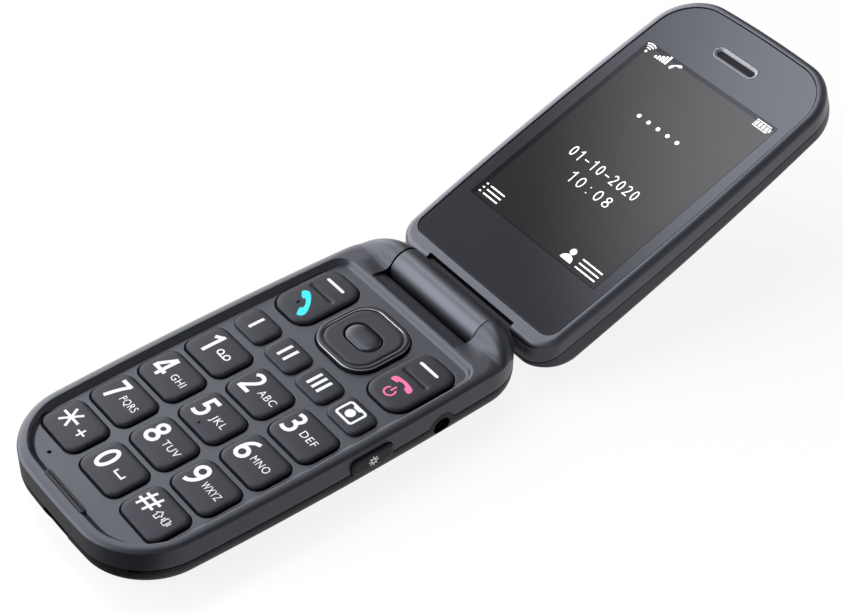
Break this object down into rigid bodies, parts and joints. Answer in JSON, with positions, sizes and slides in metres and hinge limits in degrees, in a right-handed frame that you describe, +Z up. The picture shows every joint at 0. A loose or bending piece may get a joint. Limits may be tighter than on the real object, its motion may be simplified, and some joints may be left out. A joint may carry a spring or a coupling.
{
  "type": "flip phone",
  "caption": "Open clamshell phone: a keypad base with separate pressing keys and a display lid on a barrel hinge.",
  "frame": {"origin": "middle of the base's flat underside", "axes": "+Y from the rounded keypad end toward the hinge and lid, +Z up out of the keypad, +X to the right"},
  "size_m": [0.0558, 0.1998, 0.0396],
  "materials": {
    "case": "fine-grained paint",
    "lower_shell": "fine-grained paint",
    "lid_shell": "fine-grained paint",
    "lid_back": "fine-grained paint",
    "frame_plastic": "moulded",
    "cell": "wrapped",
    "contact": "plated",
    "board": "solder mask",
    "film": "film",
    "silicone": "matt",
    "sheet_metal": "plated",
    "speaker": "moulded",
    "socket": "moulded",
    "steel": "ground",
    "follower": "sintered",
    "keycap": "satin",
    "side_key": "satin",
    "nav_band": "satin with a bright band",
    "ok_cap": "gloss",
    "lens": "gloss",
    "display": "clear cover on a picture",
    "bezel": "satin",
    "camera": "moulded",
    "window": "gloss",
    "lamp": "clear",
    "cable": "film"
  },
  "bodies": {
    "base": {"front_case": "case", "chassis": "frame_plastic", "battery_cover": "lower_shell", "battery": "cell", "battery_contacts": "contact", "main_board": "board", "dome_sheet": "film", "key_mat": "silicone", "shield_can": "sheet_metal", "sim_holder": "sheet_metal", "loudspeaker": "speaker", "microphone": "sheet_metal", "vibration_motor": "sheet_metal", "audio_jack": "socket", "charging_socket": "sheet_metal", "side_switches": "sheet_metal", "case_screws": "steel", "rest_strip": "silicone", "hinge_cam": "steel", "hinge_pin": "steel"},
    "lid": {"lid_frame": "lid_shell", "lid_cover": "lid_back", "display_lens": "lens", "display_module": "display", "lid_board": "board", "earpiece_bezel": "bezel", "earpiece": "speaker", "hinge_cartridge": "steel", "hinge_spring": "steel", "hinge_follower": "follower", "camera_module": "camera", "camera_window": "window", "torch_lamp": "lamp", "lid_screws": "steel", "hinge_flex": "cable"},
    "key_star_body": {"key_star": "keycap"},
    "key_0_body": {"key_0": "keycap"},
    "key_hash_body": {"key_hash": "keycap"},
    "key_7_body": {"key_7": "keycap"},
    "key_8_body": {"key_8": "keycap"},
    "key_9_body": {"key_9": "keycap"},
    "key_4_body": {"key_4": "keycap"},
    "key_5_body": {"key_5": "keycap"},
    "key_6_body": {"key_6": "keycap"},
    "key_1_body": {"key_1": "keycap"},
    "key_2_body": {"key_2": "keycap"},
    "key_3_body": {"key_3": "keycap"},
    "quick_key_1_body": {"quick_key_1": "keycap"},
    "quick_key_2_body": {"quick_key_2": "keycap"},
    "quick_key_3_body": {"quick_key_3": "keycap"},
    "camera_key_body": {"camera_key": "keycap"},
    "ok_key_body": {"ok_key": "ok_cap"},
    "call_key_body": {"call_key": "keycap"},
    "end_key_body": {"end_key": "keycap"},
    "nav_pad_body": {"nav_pad": "silicone"},
    "nav_ring_body": {"nav_ring": "nav_band"},
    "volume_key_body": {"volume_key": "side_key"},
    "torch_key_body": {"torch_key": "side_key"}
  },
  "joints": [
    {"name": "lid_hinge", "type": "hinge", "parent": "base", "child": "lid", "pos_m": [0, 0.0482, 0.0089], "axis": [1, 0, 0], "range_deg": [0, 160.5]},
    {"name": "key_star_press", "type": "slide", "parent": "base", "child": "key_star_body", "axis": [0, 0, -1], "range_m": [0, 0.0004], "stiffness_N_per_m": 800},
    {"name": "key_0_press", "type": "slide", "parent": "base", "child": "key_0_body", "axis": [0, 0, -1], "range_m": [0, 0.0004], "stiffness_N_per_m": 800},
    {"name": "key_hash_press", "type": "slide", "parent": "base", "child": "key_hash_body", "axis": [0, 0, -1], "range_m": [0, 0.0004], "stiffness_N_per_m": 800},
    {"name": "key_7_press", "type": "slide", "parent": "base", "child": "key_7_body", "axis": [0, 0, -1], "range_m": [0, 0.0004], "stiffness_N_per_m": 800},
    {"name": "key_8_press", "type": "slide", "parent": "base", "child": "key_8_body", "axis": [0, 0, -1], "range_m": [0, 0.0004], "stiffness_N_per_m": 800},
    {"name": "key_9_press", "type": "slide", "parent": "base", "child": "key_9_body", "axis": [0, 0, -1], "range_m": [0, 0.0004], "stiffness_N_per_m": 800},
    {"name": "key_4_press", "type": "slide", "parent": "base", "child": "key_4_body", "axis": [0, 0, -1], "range_m": [0, 0.0004], "stiffness_N_per_m": 800},
    {"name": "key_5_press", "type": "slide", "parent": "base", "child": "key_5_body", "axis": [0, 0, -1], "range_m": [0, 0.0004], "stiffness_N_per_m": 800},
    {"name": "key_6_press", "type": "slide", "parent": "base", "child": "key_6_body", "axis": [0, 0, -1], "range_m": [0, 0.0004], "stiffness_N_per_m": 800},
    {"name": "key_1_press", "type": "slide", "parent": "base", "child": "key_1_body", "axis": [0, 0, -1], "range_m": [0, 0.0004], "stiffness_N_per_m": 800},
    {"name": "key_2_press", "type": "slide", "parent": "base", "child": "key_2_body", "axis": [0, 0, -1], "range_m": [0, 0.0004], "stiffness_N_per_m": 800},
    {"name": "key_3_press", "type": "slide", "parent": "base", "child": "key_3_body", "axis": [0, 0, -1], "range_m": [0, 0.0004], "stiffness_N_per_m": 800},
    {"name": "quick_key_1_press", "type": "slide", "parent": "base", "child": "quick_key_1_body", "axis": [0, 0, -1], "range_m": [0, 0.0004], "stiffness_N_per_m": 800},
    {"name": "quick_key_2_press", "type": "slide", "parent": "base", "child": "quick_key_2_body", "axis": [0, 0, -1], "range_m": [0, 0.0004], "stiffness_N_per_m": 800},
    {"name": "quick_key_3_press", "type": "slide", "parent": "base", "child": "quick_key_3_body", "axis": [0, 0, -1], "range_m": [0, 0.0004], "stiffness_N_per_m": 800},
    {"name": "camera_key_press", "type": "slide", "parent": "base", "child": "camera_key_body", "axis": [0, 0, -1], "range_m": [0, 0.0004], "stiffness_N_per_m": 800},
    {"name": "ok_key_press", "type": "slide", "parent": "base", "child": "ok_key_body", "axis": [0, 0, -1], "range_m": [0, 0.0004], "stiffness_N_per_m": 800},
    {"name": "call_key_rock", "type": "hinge", "parent": "base", "child": "call_key_body", "pos_m": [-0.017, 0.0253, 0.008], "axis": [1, 0, 0], "range_deg": [-1.6, 1.6], "stiffness_Nm_per_rad": 0.1},
    {"name": "end_key_rock", "type": "hinge", "parent": "base", "child": "end_key_body", "pos_m": [0.017, 0.0253, 0.008], "axis": [1, 0, 0], "range_deg": [-1.6, 1.6], "stiffness_Nm_per_rad": 0.1},
    {"name": "nav_tilt_up_down", "type": "hinge", "parent": "base", "child": "nav_pad_body", "pos_m": [0, 0.0253, 0.008], "axis": [1, 0, 0], "range_deg": [-1.4, 1.4], "stiffness_Nm_per_rad": 0.1},
    {"name": "nav_tilt_left_right", "type": "hinge", "parent": "nav_pad_body", "child": "nav_ring_body", "pos_m": [0, 0.0253, 0.008], "axis": [0, 1, 0], "range_deg": [-1.4, 1.4], "stiffness_Nm_per_rad": 0.1},
    {"name": "volume_key_rock", "type": "hinge", "parent": "base", "child": "volume_key_body", "pos_m": [-0.026, 0.0066, 0.0076], "axis": [0, 0, 1], "range_deg": [-1.8, 1.8], "stiffness_Nm_per_rad": 0.1},
    {"name": "torch_key_press", "type": "slide", "parent": "base", "child": "torch_key_body", "axis": [-1, 0, 0], "range_m": [0, 0.0004], "stiffness_N_per_m": 800}
  ]
}
